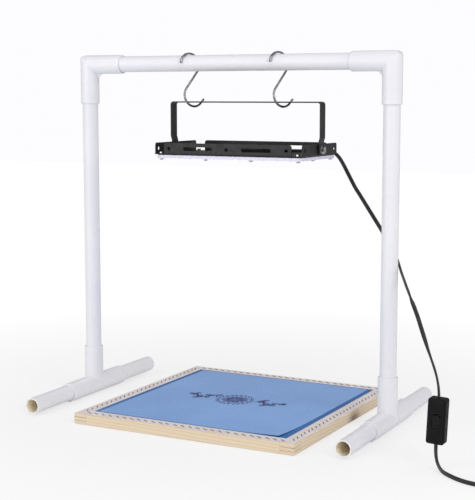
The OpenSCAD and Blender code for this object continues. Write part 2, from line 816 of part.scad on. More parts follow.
module switch_rocker() {
    color(black) on_switch() translate(rocker_at) rotate([rocker_throw / 2, 0, 0]) {
        rocker_body();
        rotate([0, 90, 0]) cylinder(d = pin_d, h = rocker_hole[0] + 2 * pin_l, center = true);
    }
}

module switch_screws() {
    head = [5, 1.8];
    shank_l = 9;
    color(zinc) on_switch() for (z = screw_at) translate([0, switch_d / 2 - 2, z]) rotate([-90, 0, 0]) {
        cylinder(d = head[0], h = head[1]);
        translate([0, 0, -shank_l]) cylinder(d = 2.4, h = shank_l);
    }
}

// Cord

// Direction between those of the nearest keys, for every point of a route
function spread(keys, count) = [for (i = [0:count - 1])
    [for (k = [0:2]) lookup(i, [for (key = keys) [key[0], key[1][k]]])]];

function cord_ring(path, faces, i, sides) = let (t = tangent(path, i), w = unit(cross(t, faces[i])))
    ring(path[i], w, cross(w, t), cord_w / 2, cord_t / 2, sides);

// Flat cord swept along a path, one ring of points to each point of the path
module flat_cord(path, faces, sides) {
    color(black) swept([for (i = [0:len(path) - 1]) cord_ring(path, faces, i, sides)]);
}

function coil_radius(turn) = coil_r - coil_step * (turn < turn_in ? turn : turn < turn_out ? turn_in
    : coil_turns - turn);

function coil_height(turn) = let (k = max(0, min(1, (turn - turn_in) / (turn_out - turn_in))))
    coil_z + coil_rise * k * k * (3 - 2 * k);

function coil_point(turn) = [coil_at[0] + coil_radius(turn) * sin(360 * turn),
    coil_at[1] - coil_radius(turn) * cos(360 * turn), coil_height(turn)];

coil_steps = coil_turns * loop_rings;
coil_path = concat([coil_point(0) - [straight_end, 0, 0]],
    [for (k = [0:coil_steps]) coil_point(k / loop_rings)],
    [coil_point(coil_turns) + [0, straight_end, 0]]);
coil_inward = [for (k = [0:coil_steps]) [-sin(360 * k / loop_rings), cos(360 * k / loop_rings), 0]];
coil_faces = concat([coil_inward[0]], coil_inward, [coil_inward[coil_steps]]);

// Least distance between points of rings that are half a loop or more apart
function coil_gap(rings) = min([for (i = [0:len(rings) - 1], j = [i + loop_rings / 2:1:len(rings) - 1])
    min([for (p = rings[i], q = rings[j]) norm(p - q)])]);

module lamp_lead() { flat_cord(lead_route, spread(lead_faces, len(lead_route)), lead_sides); }

module floor_lead() { flat_cord(floor_route, spread(floor_faces, len(floor_route)), lead_sides); }

module cord_coil() {
    rings = [for (i = [0:len(coil_path) - 1]) cord_ring(coil_path, coil_faces, i, coil_sides)];
    echo(least_coil_gap = coil_gap(rings));
    flat_cord(coil_path, coil_faces, coil_sides);
}

module plug_tail() { flat_cord(tail_route, spread(tail_faces, len(tail_route)), lead_sides); }

// Flat band round the turns of the coil
module coil_tie() {
    inner = [25.9, 37.8];
    air = 0.35;
    band_t = 1.1;
    band_w = 9;
    low = coil_z - cord_w / 2 - air;
    high = coil_z + coil_rise + cord_w / 2 + air;
    color([0.12, 0.12, 0.13]) translate([coil_at[0], coil_at[1], (low + high) / 2]) rotate([0, 0, tie_angle])
        translate([(inner[0] + inner[1]) / 2, 0, 0]) rotate([90, 0, 0])
            linear_extrude(band_w, center = true) difference() {
                rounded_rect([inner[1] - inner[0] + 2 * band_t, high - low + 2 * band_t], 2.5);
                rounded_rect([inner[1] - inner[0], high - low], 1.4);
            }
}

// Moulded plug that lies on the floor with its pins towards +Y
module plug_body() {
    relief_l = 20;
    grip_l = 32;
    width = 22;
    height = 2 * plug_at[2];
    neck = 12;
    shoulder = 9;
    color(black) translate(plug_at) {
        translate([0, relief_l, 0]) rotate([90, 0, 0]) bend_relief(relief_l, 4.6, 3.7);
        translate([0, relief_l, 0]) intersection() {
            linear_extrude(height, center = true)
                polygon([[-neck / 2, 0], [neck / 2, 0], [width / 2, shoulder], [width / 2, grip_l],
                    [-width / 2, grip_l], [-width / 2, shoulder]]);
            rotate([90, 0, 0]) translate([0, 0, -grip_l])
                linear_extrude(grip_l) rounded_rect([width, height], 5);
        }
    }
}

module plug_pins() {
    blade = [1.5, 17, 6.3];
    spacing = 12.7;
    hole_d = 3;
    hole_in = 4;
    face_y = 20 + 32;
    color(zinc) translate(plug_at + [0, face_y, 0]) for (x = [-spacing / 2, spacing / 2])
        translate([x, 0, 0]) difference() {
            translate([-blade[0] / 2, 0, -blade[2] / 2]) cube(blade);
            translate([0, blade[1] - hole_in, 0]) rotate([0, 90, 0])
                cylinder(d = hole_d, h = 4, center = true);
        }
}

crossbar();
left_upright();
right_upright();
left_elbow();
right_elbow();
left_tee();
right_tee();
left_front_foot();
left_rear_foot();
right_front_foot();
right_rear_foot();
left_s_hook();
right_s_hook();
bracket();
lamp_tray();
driver_cover();
cable_gland();
led_board();
led_chips();
lens_gasket();
lens_plate();
lens_screws();
lens_nuts();
pivot_bolts();
pivot_washers();
pivot_nuts();
front_rail();
rear_rail();
left_rail();
right_rail();
screen_mesh();
mesh_staples();
emulsion();
film();
switch_base();
switch_cover();
switch_rocker();
switch_screws();
lamp_lead();
floor_lead();
cord_coil();
coil_tie();
plug_tail();
plug_body();
plug_pins();
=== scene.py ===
"""Looks of a screen printing exposure unit: a pipe stand, a hanging lamp and a framed screen under it."""

import math
import random

import bpy
from mathutils import Matrix, Vector
from mathutils.noise import noise


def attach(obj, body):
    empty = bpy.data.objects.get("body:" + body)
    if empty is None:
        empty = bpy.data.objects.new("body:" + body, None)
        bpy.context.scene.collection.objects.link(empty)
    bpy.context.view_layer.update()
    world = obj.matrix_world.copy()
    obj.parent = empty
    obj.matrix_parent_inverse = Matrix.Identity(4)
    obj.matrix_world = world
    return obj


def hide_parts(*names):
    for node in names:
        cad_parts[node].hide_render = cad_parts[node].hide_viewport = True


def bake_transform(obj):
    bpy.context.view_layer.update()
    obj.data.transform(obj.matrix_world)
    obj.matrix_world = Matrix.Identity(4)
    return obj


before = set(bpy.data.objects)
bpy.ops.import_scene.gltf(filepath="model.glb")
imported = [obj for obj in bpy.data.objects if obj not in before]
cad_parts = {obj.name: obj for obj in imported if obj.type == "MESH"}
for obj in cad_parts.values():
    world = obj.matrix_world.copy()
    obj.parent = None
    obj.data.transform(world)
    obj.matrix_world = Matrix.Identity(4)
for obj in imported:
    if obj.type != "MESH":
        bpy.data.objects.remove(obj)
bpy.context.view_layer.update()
scene = bpy.context.scene

# The scene's unit is the metre; lengths in this script are in millimetres unless their line says otherwise

MM = 0.001

# Camera


def add_camera():
    data = bpy.data.cameras.new("camera")
    data.lens = 89.19
    data.sensor_width = 36
    camera = bpy.data.objects.new("camera", data)
    camera.location = (0.8796, -1.7099, 0.4949)
    camera.rotation_euler = (math.radians(82.90), 0, math.radians(26.97))
    scene.collection.objects.link(camera)
    scene.camera = camera


add_camera()

# Mesh helpers


def add_mesh(name, points, faces, smooth=True):
    """New piece from points in metres."""
    mesh = bpy.data.meshes.new(name)
    mesh.from_pydata([tuple(p) for p in points], [], faces)
    mesh.validate()
    mesh.update()
    for face in mesh.polygons:
        face.use_smooth = smooth
    piece = bpy.data.objects.new(name, mesh)
    scene.collection.objects.link(piece)
    return piece


def through(route, steps):
    """Points of a smooth curve through a route, each with its place along the route."""
    points = [Vector(p) for p in route]
    found = []
    for i in range(len(points) - 1):
        a, b, c, d = points[max(i - 1, 0)], points[i], points[i + 1], points[min(i + 2, len(points) - 1)]
        for k in range(steps):
            t = k / steps
            curve = 2 * b + (c - a) * t + (2 * a - 5 * b + 4 * c - d) * t * t + (3 * b - a - 3 * c + d) * t**3
            found.append((i + t, curve / 2))
    return found + [(len(points) - 1, points[-1])]


def tangent(points, i):
    """Which way a line of points runs at one of them."""
    return (points[min(i + 1, len(points) - 1)] - points[max(i - 1, 0)]).normalized()


def swept(rings):
    """Points and faces of a closed skin through rings of points."""
    n = len(rings[0])
    faces = [tuple(range(n))[::-1], tuple((len(rings) - 1) * n + j for j in range(n))]
    for i in range(len(rings) - 1):
        for j in range(n):
            a, b = i * n + j, i * n + (j + 1) % n
            faces.append((a, b, b + n, a + n))
    return [p for ring in rings for p in ring], faces


def facing(keys, u):
    """Where the cord's broad face looks at a place of its route, between the nearest two keys."""
    for (u0, first), (u1, last) in zip(keys, keys[1:]):
        if u <= u1:
            return Vector(first).lerp(Vector(last), (u - u0) / (u1 - u0))
    return Vector(keys[-1][1])


# Cord: flat, with two cores, its broad faces turned as it hangs and lies

CORD_WIDE, CORD_THICK = 6.0, 3.4
CURVE_STEPS = 4


def cord_outline():
    """Section of the cord: two cores side by side with a shallow groove between them on each broad face."""
    sides, groove, groove_wide = 18, 0.16, 0.2
    found = []
    for j in range(sides):
        a = 2 * math.pi * j / sides
        c, s = math.cos(a), math.sin(a)
        across = math.copysign(abs(c) ** 0.8, c)
        thick = math.copysign(abs(s) ** 0.75, s) * (1 - groove * math.exp(-((across / groove_wide) ** 2)))
        found.append((across * CORD_WIDE / 2, thick * CORD_THICK / 2))
    return found


def cord_rings(points, sides):
    """The cord's section at each point, square to its run, its broad face turned to that point's side."""
    outline = cord_outline()
    rings = []
    for i, p in enumerate(points):
        t = tangent(points, i)
        w = t.cross(sides[i]).normalized()
        s = w.cross(t)
        rings.append([(p + w * a + s * b) * MM for a, b in outline])
    return rings


def flat_cord(name, points, sides):
    return add_mesh(name, *swept(cord_rings(points, sides)))


# Places along the cord's middle, and at some of them where its broad face looks

LEAD_ROUTE = [
    (84, 28, 412), (95, 28, 412), (106, 29.5, 412), (116.5, 34, 412), (124.5, 42, 412.5), (130.5, 51, 413),
    (135.5, 61, 412.5), (141.5, 69.5, 408), (148, 74, 400.5), (154, 75.5, 391), (159.5, 75.5, 381.5),
    (165.5, 74, 372), (171.5, 72, 363), (178, 68.5, 354.5), (188, 63.5, 343.5), (198, 58, 332.5),
    (208, 52.5, 321.5), (218, 47, 310.5), (228, 41.5, 299.5), (238, 36, 288.5), (247.5, 30.5, 277.5),
    (256.5, 25.5, 266), (265, 19.5, 255), (272, 11, 245), (279, 0.5, 237), (286.5, -11, 230),
    (294, -22.5, 223), (301.5, -33.5, 216), (309, -44.5, 209), (316.5, -55.5, 202), (324, -66, 194.5),
    (331.5, -77, 187), (338.5, -87.5, 179), (345.5, -98, 171), (352.5, -108, 162.5), (359.5, -117.5, 153.5),
    (366.8, -126, 143.5), (373.8, -133.5, 133), (379.8, -139.3, 121.5), (383.6, -143.2, 110.5),
    (385.2, -145, 101.5), (385.5, -145.5, 94.5)]
LEAD_SIDES = [
    (0, (0, 0, 1)), (5, (0, 0, 1)), (8, (-0.2, 0.9, 0.4)), (11, (-0.45, 0.9, 0)), (19, (-0.45, 0.9, 0)),
    (22, (0.9, 0.45, 0)), (27, (0.9, 0.45, 0)), (29, (0.45, -0.9, 0)), (33, (0.45, -0.9, 0)),
    (37, (0.9, 0.3, 0)), (41, (1, 0, 0))]
FLOOR_ROUTE = [
    (382.8, -145.5, 31.6), (382.6, -145.5, 25), (383.6, -147.5, 17), (386.5, -152.5, 10), (391.5, -160, 5.5),
    (397.5, -169, 3.5), (404.5, -178, 3), (416, -188.5, 3), (428.5, -197.5, 3), (442.5, -204.5, 3),
    (457, -209.5, 3.5), (472, -212.5, 4), (486, -213.5, 4.5), (494, -213.5, 4.6)]
FLOOR_SIDES = [(0, (0.5, 0.85, 0)), (2, (0.6, 0.8, 0)), (5, (0.8, 0.6, 0)), (13, (0, 1, 0))]
TAIL_ROUTE = [
    (539.5, -168, 11.1), (539.5, -158, 10), (539.5, -147, 7.5), (539.5, -136, 5), (539.5, -125, 4),
    (539.5, -114, 4.5), (539.5, -103, 6), (539.5, -95, 7.5), (539.5, -88, 7.5)]
TAIL_SIDES = [(0, (-1, 0, 0)), (3, (-0.7, 0, 0.7)), (8, (0, 0, 1))]

# Coil: two layers, with the cord on its edge

COIL_AT = (500, -174)
COIL_RADIUS, COIL_STEP, COIL_LOW, COIL_RISE = 39.5, 6.6, 4.6, 6.5
COIL_TURNS, LIFTING_TURNS = 4.25, 0.5
INWARD_TURNS = (COIL_TURNS - LIFTING_TURNS) / 2


def coil_point(turn):
    """Place on the coil: wound inward on the floor, lifted in half a turn and wound outward on top."""
    r = COIL_RADIUS - COIL_STEP * min(turn, INWARD_TURNS, COIL_TURNS - turn)
    a = 2 * math.pi * turn
    k = max(0, min(1, (turn - INWARD_TURNS) / LIFTING_TURNS))
    height = COIL_LOW + COIL_RISE * k * k * (3 - 2 * k)
    return Vector((COIL_AT[0] + r * math.sin(a), COIL_AT[1] - r * math.cos(a), height))


def add_lamp_lead():
    """The lead in three stretches, split at the bracket and at the hooks."""
    curve = through(LEAD_ROUTE, CURVE_STEPS)
    at_bracket, at_hooks, at_end = 13, 17, len(LEAD_ROUTE) - 1
    stretches = [("lead_a", 0, at_bracket, "lamp", "bracket", 7, 13),
                 ("lead_b", at_bracket, at_hooks, "bracket", "hooks", 13, 17),
                 ("lead_c", at_hooks, at_end, "hooks", "stand", 17, 21)]
    pieces = []
    for name, first, last, upper, lower, bend_start, bend_end in stretches:
        points = [p for u, p in curve if first <= u <= last]
        sides = [facing(LEAD_SIDES, u) for u, _ in curve if first <= u <= last]
        piece = flat_cord(name, points, sides)
        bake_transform(piece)
        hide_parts("lamp_lead")
        pieces.append(piece)
    return pieces


def add_floor_cord():
    """From the switch down to the floor, round the coil and on to the plug, in one length."""
    points, sides = [], []
    for u, p in through(FLOOR_ROUTE, CURVE_STEPS)[:-1]:
        points.append(p)
        sides.append(facing(FLOOR_SIDES, u))
    rings = 40
    for k in range(int(COIL_TURNS * rings) + 1):
        a = 2 * math.pi * k / rings
        points.append(coil_point(k / rings))
        sides.append(Vector((-math.sin(a), math.cos(a), 0)))
    for u, p in through(TAIL_ROUTE, CURVE_STEPS):
        points.append(p)
        sides.append(facing(TAIL_SIDES, u))
    piece = flat_cord("floor_cord", points, sides)
    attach(piece, "stand")
    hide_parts("floor_lead", "cord_coil", "plug_tail")
    return piece


lead_pieces = add_lamp_lead()
floor_cord = add_floor_cord()

# Hooks: bright wire, bent to an S

HOOK_WIRE, HOOK_BOWL, BOWL_DROP, HOOK_TIP = 3.4, 17.0, 48.7, 8.0
HOOK_Z, HOOK_LEAN, HOOK_TURN = 543.4, -7.8, 63
BOWL_START, BOWL_END = 165, 312


def hook_line():
    """Middle of the wire: an arc over the crossbar, a straight shank, an arc under the bracket and a tip."""
    shank = math.degrees(math.acos(2 * HOOK_BOWL / BOWL_DROP)) - 90
    spots = []
    for first, last, drop in ((BOWL_START, shank, 0), (shank + 180, BOWL_END, BOWL_DROP)):
        for k in range(41):
            a = math.radians(first + (last - first) * k / 40)
            spots.append(Vector((HOOK_BOWL * math.cos(a), 0, HOOK_BOWL * math.sin(a) - drop)))
    a = math.radians(BOWL_END)
    spots.append(spots[-1] + HOOK_TIP * Vector((-math.sin(a), 0, math.cos(a))))
    return spots


def add_hook(name, x):
    """Round wire along the hook's line, with a domed end at each side."""
    spots = hook_line()
    place = (Matrix.Translation((x, 0, HOOK_Z)) @ Matrix.Rotation(math.radians(HOOK_LEAN), 4, "Y")
             @ Matrix.Rotation(math.radians(HOOK_TURN), 4, "Z"))
    wide = Vector((0, 1, 0))
    rings = []

    def ring(i, dome=0):
        """Circle round a spot; a dome's angle, in degrees, moves it outward and makes it smaller."""
        t = tangent(spots, i)
        deep = wide.cross(t)
        middle = spots[i] + t * HOOK_WIRE / 2 * math.sin(math.radians(dome))
        size = HOOK_WIRE / 2 * math.cos(math.radians(dome))
        rings.append([(place @ (middle + (wide * math.cos(b) + deep * math.sin(b)) * size)) * MM
                      for b in (math.pi * j / 10 for j in range(20))])

    for angle in (-80, -60, -40, -20):
        ring(0, angle)
    for i in range(len(spots)):
        ring(i)
    for angle in (20, 40, 60, 80):
        ring(len(spots) - 1, angle)
    hook = add_mesh(name, *swept(rings))
    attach(hook, "hooks")
    return hook


left_hook = add_hook("left_hook_wire", -73.9)
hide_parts("left_s_hook")
right_hook = add_hook("right_hook_wire", 79.6)
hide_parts("right_s_hook")

# Switch: a low rounded collar round the rocker's opening

SWITCH_TOP, SWITCH_LEAN = (385.5, -145.5, 94.5), 2.5
SWITCH_LONG, SWITCH_DEEP = 63.0, 17.0


def bowed(value):
    """Turns a circle's sine or cosine into that of a fuller oval."""
    return math.copysign(abs(value) ** 0.7, value)


def add_rocker_collar():
    place = Matrix.Translation(SWITCH_TOP) @ Matrix.Rotation(math.radians(SWITCH_LEAN), 4, "Y")
    wide, long, bead = 7.1, 11.4, 0.75
    front, middle = 0.05 - SWITCH_DEEP / 2, -SWITCH_LONG / 2
    around, sides = 64, 10
    points, faces = [], []
    for k in range(around):
        a = 2 * math.pi * k / around
        for j in range(sides):
            b = 2 * math.pi * j / sides
            out = 1 + bead * math.cos(b) / 9
            spot = Vector((wide * out * bowed(math.cos(a)), front - 0.8 * bead * math.sin(b),
                           middle + long * out * bowed(math.sin(a))))
            points.append((place @ spot) * MM)
            n, m = (k + 1) % around, (j + 1) % sides
            faces.append((k * sides + j, k * sides + m, n * sides + m, n * sides + j))
    collar = add_mesh("rocker_collar", points, faces)
    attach(collar, "stand")
    return collar


rocker_collar = add_rocker_collar()

# Screen: its frame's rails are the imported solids; the mesh, staples, film and print lie on them

SCREEN_X, SCREEN_TURN = 12, -1
SCREEN = Matrix.Translation((SCREEN_X, 0, 0)) @ Matrix.Rotation(math.radians(SCREEN_TURN), 4, "Z")
RAIL, RAIL_H, HALF_L, HALF_W = 22.0, 16.0, 185.25, 187.0
CLOTH_INSET, CLOTH_LOW, CLOTH_TOP = 1.6, 16.02, 16.4
CLOTH_HALF_L, CLOTH_HALF_W = HALF_L - CLOTH_INSET, HALF_W - CLOTH_INSET
FILM_L, FILM_W, FILM_FORWARD = 308.5, 323.0, 1.5
FILM_LOW, FILM_TOP, PRINT_Z = 16.8, 16.95, 17.0


def on_screen(x, y, z):
    """Place in metres of a point given from the middle of the screen's underside."""
    return (SCREEN @ Vector((x, y, z))) * MM


def flat(x, y):
    """No bend at all."""
    return 0.0


def slab(name, outline, low, high, cells, bend=flat):
    """Thin sheet over a square grid of cells, its edge following outline(u, v), bent up by bend(x, y)."""
    nx = ny = cells
    points, faces = [], []
    for level in (low, high):
        for j in range(ny + 1):
            for i in range(nx + 1):
                x, y = outline(i / nx, j / ny)
                points.append(on_screen(x, y, level + bend(x, y)))

    def at(i, j, k):
        return (k * (ny + 1) + j) * (nx + 1) + i

    for j in range(ny):
        for i in range(nx):
            faces.append((at(i, j, 0), at(i, j + 1, 0), at(i + 1, j + 1, 0), at(i + 1, j, 0)))
            faces.append((at(i, j, 1), at(i + 1, j, 1), at(i + 1, j + 1, 1), at(i, j + 1, 1)))
    for i in range(nx):
        faces.append((at(i, 0, 0), at(i + 1, 0, 0), at(i + 1, 0, 1), at(i, 0, 1)))
        faces.append((at(i, ny, 0), at(i, ny, 1), at(i + 1, ny, 1), at(i + 1, ny, 0)))
    for j in range(ny):
        faces.append((at(0, j, 0), at(0, j, 1), at(0, j + 1, 1), at(0, j + 1, 0)))
        faces.append((at(nx, j, 0), at(nx, j + 1, 0), at(nx, j + 1, 1), at(nx, j, 1)))
    return add_mesh(name, points, faces, smooth=False)


def cloth_outline(u, v):
    """Cut edge of the mesh, a little uneven where it was trimmed by hand."""
    x, y = (u - 0.5) * 2 * CLOTH_HALF_L, (v - 0.5) * 2 * CLOTH_HALF_W
    slow = noise(Vector((x * 0.045, y * 0.045, 3.1)))
    quick = noise(Vector((x * 0.21, y * 0.21, 7.7)))
    waver = 0.45 * slow + 0.25 * quick
    if abs(u - 0.5) > 0.4999:
        x += waver
    if abs(v - 0.5) > 0.4999:
        y += waver
    return x, y


cloth = slab("screen_cloth", cloth_outline, CLOTH_LOW, CLOTH_TOP, cells=120)
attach(cloth, "screen")
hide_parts("screen_mesh")


STAPLES_A_SIDE, STAPLE_SLANT = 27, 32
CROWN_LINE = [(-5.1, -0.5), (-4.9, 0.0), (-4.5, 0.3), (0, 0.36), (4.5, 0.3), (4.9, 0.0), (5.1, -0.5)]
CROWN_SECTION = [
    (-0.6, -0.1925), (-0.6, 0.035), (-0.36, 0.1925), (0.36, 0.1925), (0.6, 0.035), (0.6, -0.1925)]


def add_staples():
    """Staples along the rails: round-edged crowns whose ends dip into the cloth, none quite like the next."""
    rng = random.Random(7)
    points, faces = [], []
    for side in range(4):
        along, across = ((2 * HALF_L, 2 * HALF_W), (2 * HALF_W, 2 * HALF_L))[side % 2]
        turn = Matrix.Rotation(math.pi / 2 * side, 4, "Z")
        pitch = (along - 2 * RAIL) / (STAPLES_A_SIDE - 1)
        for k in range(STAPLES_A_SIDE):
            middle = turn @ Vector((RAIL - along / 2 + k * pitch + rng.uniform(-0.7, 0.7),
                                    RAIL / 2 - across / 2 + rng.uniform(-0.5, 0.5), 0))
            lean = math.radians((-STAPLE_SLANT, STAPLE_SLANT)[side % 2] + rng.uniform(-6, 6))
            slant = Matrix.Rotation(math.pi / 2 * side + lean, 4, "Z")
            rings = []
            for place, lift in CROWN_LINE:
                spots = [(middle + slant @ Vector((place, off, 0)), up) for off, up in CROWN_SECTION]
                rings.append([on_screen(p.x, p.y, CLOTH_TOP + lift + up) for p, up in spots])
            first = len(points)
            crown_points, crown_faces = swept(rings)
            points += crown_points
            faces += [tuple(first + i for i in face) for face in crown_faces]
    piece = add_mesh("staple_row", points, faces)
    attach(piece, "screen")
    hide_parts("mesh_staples")
    return piece


staples = add_staples()


def film_lift(x, y):
    """How far the film stands off: flat, but for a slow ripple and its curled front right corner."""
    ripple_height, curl_from, curl_reach, curl_height = 0.1, 235, 80, 1.6
    ripple = ripple_height * (1 + noise(Vector((x * 0.012, y * 0.012, 1.5))))
    curl = max(0.0, (x - y - curl_from) / curl_reach)
    return ripple + curl_height * min(curl, 1.1) ** 2


def film_outline(u, v):
    """Cut edge of the film, its front right corner drawn in a little where it curls."""
    drawn_in, share_of_side = 5.0, 0.13
    x, y = (u - 0.5) * FILM_L, (v - 0.5) * FILM_W - FILM_FORWARD
    return x - drawn_in * u**6 * math.exp(-v / share_of_side), y


film_piece = slab("film_sheet", film_outline, FILM_LOW, FILM_TOP, cells=84, bend=film_lift)
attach(film_piece, "film")
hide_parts("film")


class Print:
    """Line art of flat strips and rings that lies on the film."""

    def __init__(self):
        self.points, self.faces = [], []

    def put(self, x, y):
        self.points.append(on_screen(x, y, PRINT_Z + film_lift(x, y)))

    def strip(self, line, width):
        """A line drawn with a pen, widest in its middle and thin at both ends."""
        first = len(self.points)
        for i, (x, y) in enumerate(line):
            x0, y0 = line[max(i - 1, 0)]
            x1, y1 = line[min(i + 1, len(line) - 1)]
            run = math.hypot(x1 - x0, y1 - y0) or 1
            nx, ny = (y0 - y1) / run, (x1 - x0) / run
            half = width / 2 * (0.35 + 0.65 * math.sin(math.pi * i / (len(line) - 1)) ** 0.5)
            self.put(x + nx * half, y + ny * half)
            self.put(x - nx * half, y - ny * half)
        for i in range(len(line) - 1):
            a = first + 2 * i
            self.faces.append((a, a + 1, a + 3, a + 2))

    def ring(self, x, y, radius, width, count):
        first = len(self.points)
        for k in range(count):
            a = 2 * math.pi * k / count
            for r in (radius - width / 2, radius + width / 2):
                self.put(x + r * math.cos(a), y + r * math.sin(a))
        for k in range(count):
            a, b = first + 2 * k, first + 2 * ((k + 1) % count)
            self.faces.append((a, a + 1, b + 1, b))

    def leaf(self, x, y, turn, length, width):
        """Two bowed edges that meet in a point, and a rib between them."""
        c, s = math.cos(turn), math.sin(turn)
        for side in (1, -1):
            edge = [(length * t, side * width / 2 * math.sin(math.pi * t) ** 0.8)
                    for t in (k / 12 for k in range(13))]
            self.strip([(x + c * a - s * b, y + s * a + c * b) for a, b in edge], 2.3)
        self.strip([(x + c * length * t, y + s * length * t) for t in (0.05, 0.25, 0.5, 0.8)], 1.4)


def draw_flower(art, x, y):
    """A ringed heart, twelve petals, and a ring of beads round them."""
    art.ring(x, y, 6.5, 1.9, 48)
    art.ring(x, y, 3.2, 2.4, 36)
    petals, beads = 12, 24
    for k in range(petals):
        a = 2 * math.pi * k / petals
        art.leaf(x + 7.5 * math.cos(a), y + 7.5 * math.sin(a), a, 15.5, 6.2)
    art.ring(x, y, 26.5, 1.7, 90)
    for k in range(beads):
        a = 2 * math.pi * (k + 0.5) / beads
        art.ring(x + 29.6 * math.cos(a), y + 29.6 * math.sin(a), 1.2, 1.5, 10)


def draw_sprig(art, x, y, side):
    """A waving stem that runs out to one side, with leaves left and right by turns and one at its end."""
    steps, gap, reach, wave = 40, 34, 44, 13
    stem = []
    for k in range(steps + 1):
        t = k / steps
        stem.append((x + side * (gap + reach * t), y + wave * math.sin(2.6 * math.pi * t) * (1 - 0.35 * t)))
    art.strip(stem, 3.2)
    for k in range(3, steps, 4):
        (x0, y0), (x1, y1) = stem[k], stem[k + 1]
        lean = 0.85 if (k // 4) % 2 else -0.85
        art.leaf(x0, y0, math.atan2(y1 - y0, x1 - x0) + lean, 14 - 5 * k / steps, 6)
    (x0, y0), (x1, y1) = stem[-2:]
    art.leaf(x1, y1, math.atan2(y1 - y0, x1 - x0), 9, 4)


def add_print():
    """A plain botanical ornament: a flower between two leafy sprigs."""
    middle = (-6.0, -2.0)
    art = Print()
    draw_flower(art, *middle)
    for side in (1, -1):
        draw_sprig(art, *middle, side)
    piece = add_mesh("film_print", art.points, art.faces, smooth=False)
    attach(piece, "film")
    return piece


print_piece = add_print()

# Materials


class Nodes:
    """Makes and links the nodes of one node tree."""

    def __init__(self, tree):
        self.tree = tree

    def feed(self, node, inputs):
        """Links a node's inputs or sets their values; a colour of three numbers gets its alpha."""
        for key, value in inputs.items():
            socket = node.inputs[key]
            if isinstance(value, bpy.types.NodeSocket):
                self.tree.links.new(value, socket)
            elif socket.type == "RGBA" and len(value) == 3:
                socket.default_value = (*value, 1)
            else:
                socket.default_value = value

    def add(self, kind, inputs=None, **settings):
        node = self.tree.nodes.new(kind)
        for key, value in settings.items():
            setattr(node, key, value)
        self.feed(node, inputs or {})
        return node

    def math(self, operation, a, b=0.0):
        return self.add("ShaderNodeMath", {0: a, 1: b}, operation=operation).outputs[0]

    def off(self, value, middle):
        """How far a value lies from a middle, to either side."""
        return self.math("ABSOLUTE", self.math("SUBTRACT", value, middle))

    def reach(self, *steps):
        """Length of the way whose steps along the axes are given."""
        squares = [self.math("MULTIPLY", step, step) for step in steps]
        total = squares[0]
        for square in squares[1:]:
            total = self.math("ADD", total, square)
        return self.math("SQRT", total)

    def parts(self, vector):
        return self.add("ShaderNodeSeparateXYZ", {"Vector": vector}).outputs

    def spread(self, value, low, high, to_low=0.0, to_high=1.0):
        """Maps a value's useful part onto another range."""
        return self.add("ShaderNodeMapRange", {"Value": value, "From Min": low, "From Max": high,
                                               "To Min": to_low, "To Max": to_high}).outputs[0]

    def mix(self, factor, first, second):
        return self.add("ShaderNodeMix", {0: factor, 6: first, 7: second}, data_type="RGBA").outputs[2]

    def noise(self, vector, scale, detail, rough=0.5):
        return self.add("ShaderNodeTexNoise", {"Vector": vector, "Scale": scale, "Detail": detail,
                                               "Roughness": rough}).outputs["Fac"]


# Effects that several finishes share: node groups, placed in a material with that finish's own values


def new_effect(name, takes, gives):
    """New node group: its nodes, the sockets that bring its inputs in, and the node for its output."""
    group = bpy.data.node_groups.new(name, "ShaderNodeTree")
    kinds = {0: "NodeSocketFloat", 3: "NodeSocketVector", 4: "NodeSocketColor"}
    for socket, value in {"Vector": (0.0, 0.0, 0.0), **takes}.items():
        size = len(value) if isinstance(value, tuple) else 0
        group.interface.new_socket(socket, in_out="INPUT", socket_type=kinds[size]).default_value = value
    group.interface.new_socket(gives, in_out="OUTPUT", socket_type=kinds[4 if gives == "Color" else 0])
    return Nodes(group), group.nodes.new("NodeGroupInput").outputs, group.nodes.new("NodeGroupOutput")


def give(nodes, end, value):
    """Puts a value out of a group, and hands the finished group on."""
    nodes.feed(end, {0: value})
    return nodes.tree


def patches_effect():
    """Soft patches: a slow noise whose useful part is mapped between two values."""
    nodes, takes, end = new_effect("patches", {"Scale": 50.0, "Detail": 3.0, "Low": 0.35, "High": 0.7,
                                               "At Low": 0.0, "At High": 1.0}, "Value")
    cloud = nodes.noise(takes["Vector"], takes["Scale"], takes["Detail"], 0.55)
    value = nodes.spread(cloud, takes["Low"], takes["High"], takes["At Low"], takes["At High"])
    return give(nodes, end, value)


def tones_effect(patches):
    """Two tones of one colour, laid in soft patches."""
    grey, pale = (0.5, 0.5, 0.5, 1.0), (0.6, 0.6, 0.6, 1.0)
    nodes, takes, end = new_effect("tones", {"Scale": 50.0, "Detail": 3.0, "Low": 0.35, "High": 0.7,
                                             "First": grey, "Second": pale}, "Color")
    shared = {socket: takes[socket] for socket in ("Vector", "Scale", "Detail", "Low", "High")}
    mask = nodes.add("ShaderNodeGroup", shared, node_tree=patches).outputs["Value"]
    return give(nodes, end, nodes.mix(mask, takes["First"], takes["Second"]))


def grain_effect():
    """Height of a moulded, painted or plated skin: a fine grain and a share of a wave five times as long."""
    nodes, takes, end = new_effect("grain", {"Scale": 1000.0, "Long Share": 0.3}, "Height")
    fine = nodes.noise(takes["Vector"], takes["Scale"], 2.0)
    slow = nodes.noise(takes["Vector"], nodes.math("DIVIDE", takes["Scale"], 5.0), 1.0)
    step = nodes.math("MULTIPLY", nodes.math("SUBTRACT", slow, fine), takes["Long Share"])
    return give(nodes, end, nodes.math("ADD", fine, step))


